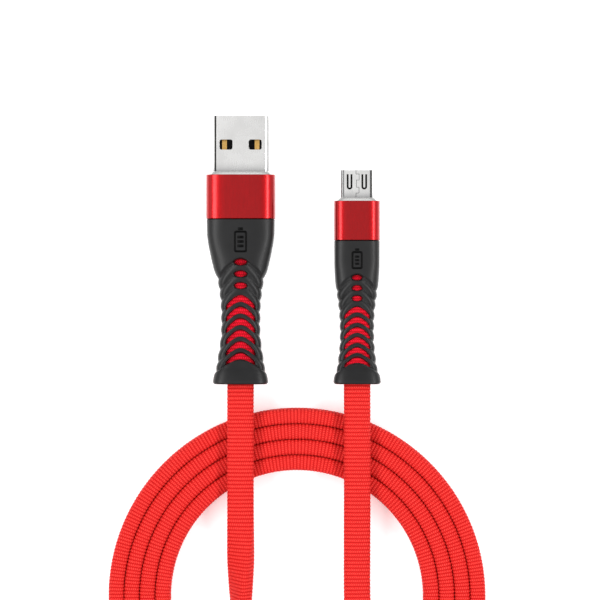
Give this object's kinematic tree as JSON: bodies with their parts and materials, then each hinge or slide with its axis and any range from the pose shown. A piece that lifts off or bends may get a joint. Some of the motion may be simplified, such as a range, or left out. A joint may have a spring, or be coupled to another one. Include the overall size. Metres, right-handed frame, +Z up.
{
  "type": "charging cable",
  "caption": "Flat braided charging cable wound in a round coil, with a USB-A plug and a Micro-B plug side by side, metal sleeves and slotted flexible boots.",
  "frame": {"origin": "centre of the two plugs' box, on the surface that the cable lies on", "axes": "+Y along the plugs, towards their tips; +X from the USB-A plug to the Micro-B plug; +Z up from the surface"},
  "size_m": [0.0812, 0.144, 0.0102],
  "materials": {
    "nickel": "satin nickel plating",
    "gold": "gold plated contacts",
    "anodised_red": "satin red anodised, bright cut front edge",
    "boot_rubber": "matte moulded",
    "insulator": "moulded",
    "mould": "moulded",
    "braid": "woven braid",
    "spring_steel": "bright",
    "tinned_wire": "tinned copper strands",
    "wire_red": "insulated wire",
    "wire_white": "insulated wire",
    "wire_green": "insulated wire",
    "wire_black": "insulated wire"
  },
  "bodies": {
    "cable": {"cable_coil": "braid", "cable_tail_a": "braid", "cable_tail_b": "braid", "micro_b_boot": "boot_rubber", "micro_b_cable_end": "braid", "micro_b_contact_1": "gold", "micro_b_contact_2": "gold", "micro_b_contact_3": "gold", "micro_b_contact_4": "gold", "micro_b_contact_5": "gold", "micro_b_drain_wire": "tinned_wire", "micro_b_inner_mould": "mould", "micro_b_insulator": "insulator", "micro_b_shell": "nickel", "micro_b_sleeve": "anodised_red", "micro_b_wire_black": "wire_black", "micro_b_wire_green": "wire_green", "micro_b_wire_red": "wire_red", "micro_b_wire_white": "wire_white", "usb_a_boot": "boot_rubber", "usb_a_cable_end": "braid", "usb_a_contact_1": "gold", "usb_a_contact_2": "gold", "usb_a_contact_3": "gold", "usb_a_contact_4": "gold", "usb_a_drain_wire": "tinned_wire", "usb_a_inner_mould": "mould", "usb_a_insulator": "insulator", "usb_a_shell": "nickel", "usb_a_sleeve": "anodised_red", "usb_a_wire_black": "wire_black", "usb_a_wire_green": "wire_green", "usb_a_wire_red": "wire_red", "usb_a_wire_white": "wire_white"},
    "latch_left": {"micro_b_latch_left": "spring_steel"},
    "latch_right": {"micro_b_latch_right": "spring_steel"}
  },
  "joints": [
    {"name": "latch_left_press", "type": "hinge", "parent": "cable", "child": "latch_left", "pos_m": [0.01145, 0.0092, 0.00295], "axis": [1, 0, 0], "range_deg": [0, 2.8], "stiffness_Nm_per_rad": 0.01},
    {"name": "latch_right_press", "type": "hinge", "parent": "cable", "child": "latch_right", "pos_m": [0.01595, 0.0092, 0.00295], "axis": [1, 0, 0], "range_deg": [0, 2.8], "stiffness_Nm_per_rad": 0.01}
  ]
}
